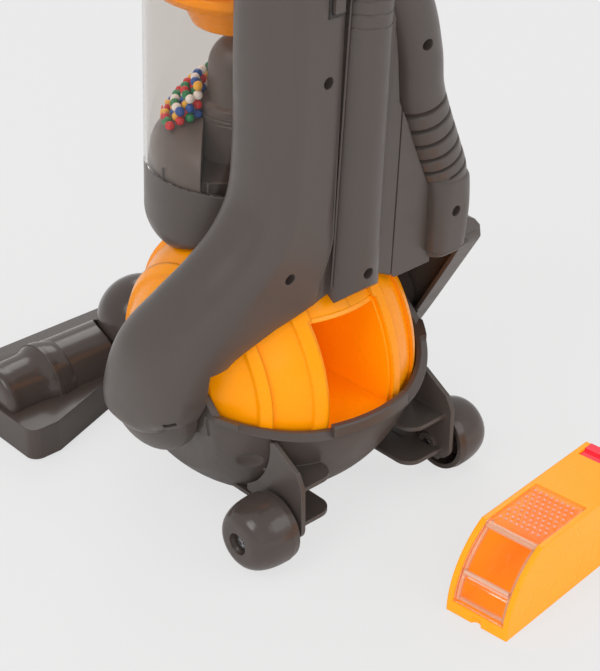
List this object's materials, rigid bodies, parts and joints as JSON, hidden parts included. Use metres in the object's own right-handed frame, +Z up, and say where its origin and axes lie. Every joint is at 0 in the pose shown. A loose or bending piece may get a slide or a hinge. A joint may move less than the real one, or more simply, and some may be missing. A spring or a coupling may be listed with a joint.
{
  "type": "toy vacuum cleaner",
  "caption": "Toy upright vacuum cleaner: ball base with pull-out dust drawer, clear bin with tumbling beads, reclining body, side hose, pivoting floor head and loop handle.",
  "frame": {"origin": "on the floor, straight under the middle of the ball, which is also straight under the recline axis", "axes": "+Z up; -Y towards the floor head; +Y towards the side where the dust drawer comes out; +X towards the smooth duct"},
  "size_m": [0.208, 0.3605, 0.6709],
  "materials": {
    "grey_plastic": "satin",
    "dark_plastic": "glossy",
    "ball_orange": "glossy",
    "liner_orange": "glossy",
    "drawer_orange": "glossy",
    "clear_plastic": "clear and glossy",
    "red_plastic": "glossy",
    "white_plastic": "satin",
    "roller_black": "matt",
    "screw_steel": "bright",
    "motor_steel": "bright",
    "cell_gold": "satin",
    "bead_red": "glossy",
    "bead_blue": "glossy",
    "bead_green": "glossy",
    "bead_yellow": "glossy",
    "bead_white": "glossy"
  },
  "bodies": {
    "base": {"cradle": "grey_plastic", "ball_left": "ball_orange", "ball_right": "ball_orange", "drawer_garage": "liner_orange", "fan_housing": "roller_black", "suction_motor": "motor_steel", "battery_box": "roller_black", "batteries": "cell_gold", "battery_door": "grey_plastic", "door_screw": "screw_steel", "axle_screws": "screw_steel"},
    "fan": {"suction_fan": "white_plastic"},
    "left_wheel": {"wheel_left": "dark_plastic"},
    "right_wheel": {"wheel_right": "dark_plastic"},
    "neck_joint": {"neck": "dark_plastic"},
    "head": {"head_cover": "dark_plastic", "head_sole": "grey_plastic"},
    "rollers": {"head_rollers": "roller_black"},
    "bead_stirrer": {"bead_fan": "white_plastic"},
    "switch": {"switch_slider": "grey_plastic"},
    "release_button": {"bin_button": "red_plastic"},
    "drawer": {"drawer_tray": "drawer_orange", "drawer_flap": "red_plastic"},
    "dust_cover": {"drawer_cover": "clear_plastic"},
    "upright": {"left_duct": "grey_plastic", "left_hub": "grey_plastic", "right_arm": "grey_plastic", "right_hub": "grey_plastic", "rear_cover": "grey_plastic", "wand_sleeve": "grey_plastic", "side_hose": "grey_plastic", "spine": "grey_plastic", "bin_holder": "grey_plastic", "bin_cup": "grey_plastic", "bin_clear": "clear_plastic", "bin_mound": "grey_plastic", "bin_column": "grey_plastic", "bead_motor": "motor_steel", "beads_red": "bead_red", "beads_blue": "bead_blue", "beads_green": "bead_green", "beads_yellow": "bead_yellow", "beads_white": "bead_white", "shroud": "ball_orange", "cyclone_cones": "ball_orange", "cyclone_body": "grey_plastic", "cyclone_cap": "grey_plastic", "carry_handle": "grey_plastic", "switch_base": "roller_black", "cover_screws": "screw_steel", "wand": "dark_plastic", "handle_collar": "grey_plastic", "handle_loop": "grey_plastic"}
  },
  "joints": [
    {"name": "recline", "type": "hinge", "parent": "base", "child": "upright", "pos_m": [0, 0, 0.074], "axis": [-1, 0, 0], "range_deg": [0, 30]},
    {"name": "left_wheel_spin", "type": "hinge", "parent": "base", "child": "left_wheel", "pos_m": [0.07, 0.07, 0.0193], "axis": [1, 0, 0], "continuous": true},
    {"name": "right_wheel_spin", "type": "hinge", "parent": "base", "child": "right_wheel", "pos_m": [-0.07, 0.07, 0.0193], "axis": [1, 0, 0], "continuous": true},
    {"name": "neck_roll", "type": "hinge", "parent": "base", "child": "neck_joint", "pos_m": [0, -0.07, 0.038], "axis": [0, 1, 0], "range_deg": [-18, 18]},
    {"name": "head_pitch", "type": "hinge", "parent": "neck_joint", "child": "head", "pos_m": [0, -0.115, 0.027], "axis": [1, 0, 0], "range_deg": [-10, 10]},
    {"name": "roller_spin", "type": "hinge", "parent": "head", "child": "rollers", "pos_m": [0, -0.146, 0.007], "axis": [1, 0, 0], "continuous": true},
    {"name": "fan_spin", "type": "hinge", "parent": "base", "child": "fan", "pos_m": [0, 0, 0.124], "axis": [0, 0, 1], "continuous": true},
    {"name": "stirrer_spin", "type": "hinge", "parent": "upright", "child": "bead_stirrer", "pos_m": [0, -0.02472, 0.18065], "axis": [0, 0.0593, 0.9982], "continuous": true},
    {"name": "switch_slide", "type": "slide", "parent": "upright", "child": "switch", "axis": [0, 0.0593, 0.9982], "range_m": [0, 0.006]},
    {"name": "button_press", "type": "slide", "parent": "upright", "child": "release_button", "axis": [0, -0.0593, -0.9982], "range_m": [0, 0.004], "stiffness_N_per_m": 400, "springref_m": -0.001},
    {"name": "drawer_lift", "type": "slide", "parent": "base", "child": "drawer", "axis": [0, 0, 1], "range_m": [0, 0.06]},
    {"name": "dust_cover_swing", "type": "hinge", "parent": "drawer", "child": "dust_cover", "pos_m": [-0.04133, 0.1705, 0.042], "axis": [0.0906, -0.9959, 0], "range_deg": [0, 95]}
  ]
}
